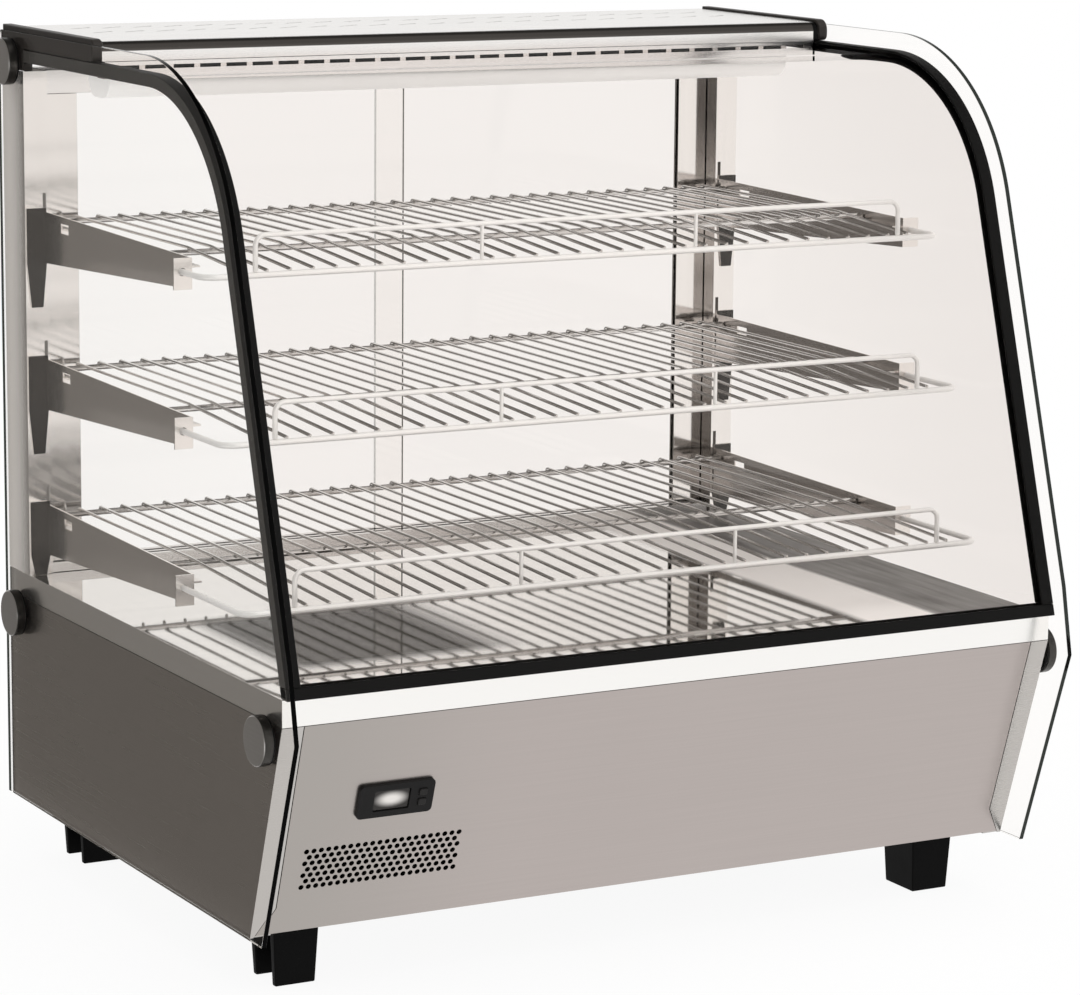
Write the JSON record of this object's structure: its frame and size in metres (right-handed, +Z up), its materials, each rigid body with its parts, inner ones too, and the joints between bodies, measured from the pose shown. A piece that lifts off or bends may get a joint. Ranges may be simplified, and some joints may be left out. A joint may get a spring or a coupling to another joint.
{
  "type": "heated display case",
  "caption": "Countertop heated display case with curved front glass, clear sides, wire racks on hooked brackets, slotted hood and rear sliding glass doors.",
  "frame": {"origin": "on the counter, under the middle of the case", "axes": "+Z up, -Y towards the customer side with the curved glass, +Y towards the sliding doors, +X to the right seen from the front"},
  "size_m": [0.6976, 0.5675, 0.692],
  "materials": {
    "steel": "satin",
    "polished_steel": "polished",
    "plated_wire": "bright",
    "black_plastic": "fine grain",
    "rubber": "matt",
    "clear_glass": "clear",
    "white_plastic": "milky",
    "smoked_window": "glossy",
    "dull_steel": "dull"
  },
  "bodies": {
    "case": {"base_side_left": "steel", "base_side_right": "steel", "base_bottom": "dull_steel", "base_back": "steel", "front_panel": "steel", "deck_tray": "polished_steel", "foot_front_left": "black_plastic", "foot_front_right": "black_plastic", "foot_rear_left": "black_plastic", "foot_rear_right": "black_plastic", "side_glass_left": "clear_glass", "side_glass_right": "clear_glass", "front_glass": "clear_glass", "seal_left": "rubber", "seal_right": "rubber", "seal_sill": "rubber", "fixing_top_left": "steel", "fixing_top_right": "steel", "fixing_rear_left": "steel", "fixing_rear_right": "steel", "fixing_front_left": "steel", "fixing_front_right": "steel", "hood_top": "steel", "hood_cap_left": "black_plastic", "hood_cap_right": "black_plastic", "lamp_housing": "steel", "lamp_tube": "white_plastic", "lamp_cover": "white_plastic", "rear_post_left": "steel", "rear_post_right": "steel", "door_header": "steel", "door_sill": "steel", "bracket_left_1": "steel", "bracket_left_2": "steel", "bracket_left_3": "steel", "bracket_right_1": "steel", "bracket_right_2": "steel", "bracket_right_3": "steel", "controller_bezel": "black_plastic", "display_window": "smoked_window", "switch_frame": "black_plastic", "cable_gland": "black_plastic", "heater_element": "dull_steel", "fan_frame": "black_plastic"},
    "door_left": {"door_glass_left": "clear_glass", "door_stile_left": "steel"},
    "door_right": {"door_glass_right": "clear_glass", "door_stile_right": "steel"},
    "shelf_1": {"rack_1": "plated_wire", "fence_1": "plated_wire"},
    "shelf_2": {"rack_2": "plated_wire", "fence_2": "plated_wire"},
    "shelf_3": {"rack_3": "plated_wire", "fence_3": "plated_wire"},
    "up_key": {"key_up": "black_plastic"},
    "down_key": {"key_down": "black_plastic"},
    "light_rocker": {"rocker_light": "black_plastic"},
    "power_rocker": {"rocker_power": "black_plastic"},
    "rotor": {"fan_rotor": "dull_steel"}
  },
  "joints": [
    {"name": "door_left_slide", "type": "slide", "parent": "case", "child": "door_left", "axis": [1, 0, 0], "range_m": [0, 0.27]},
    {"name": "door_right_slide", "type": "slide", "parent": "case", "child": "door_right", "axis": [1, 0, 0], "range_m": [-0.27, 0]},
    {"name": "shelf_1_slide", "type": "slide", "parent": "case", "child": "shelf_1", "axis": [0, -1, 0], "range_m": [0, 0.01]},
    {"name": "shelf_2_slide", "type": "slide", "parent": "case", "child": "shelf_2", "axis": [0, -1, 0], "range_m": [0, 0.01]},
    {"name": "shelf_3_slide", "type": "slide", "parent": "case", "child": "shelf_3", "axis": [0, -1, 0], "range_m": [0, 0.01]},
    {"name": "key_up_press", "type": "slide", "parent": "case", "child": "up_key", "axis": [0, 0.9484, 0.3171], "range_m": [0, 0.0008], "stiffness_N_per_m": 1200, "springref_m": -0.0005},
    {"name": "key_down_press", "type": "slide", "parent": "case", "child": "down_key", "axis": [0, 0.9484, 0.3171], "range_m": [0, 0.0008], "stiffness_N_per_m": 1200, "springref_m": -0.0005},
    {"name": "rocker_light_tilt", "type": "hinge", "parent": "case", "child": "light_rocker", "pos_m": [-0.2425, 0.2603, 0.15], "axis": [1, 0, 0], "range_deg": [0, 16]},
    {"name": "rocker_power_tilt", "type": "hinge", "parent": "case", "child": "power_rocker", "pos_m": [-0.2175, 0.2603, 0.15], "axis": [1, 0, 0], "range_deg": [0, 16]},
    {"name": "fan_spin", "type": "hinge", "parent": "case", "child": "rotor", "pos_m": [0.18, 0.23, 0.13], "axis": [0, 1, 0], "continuous": true}
  ]
}
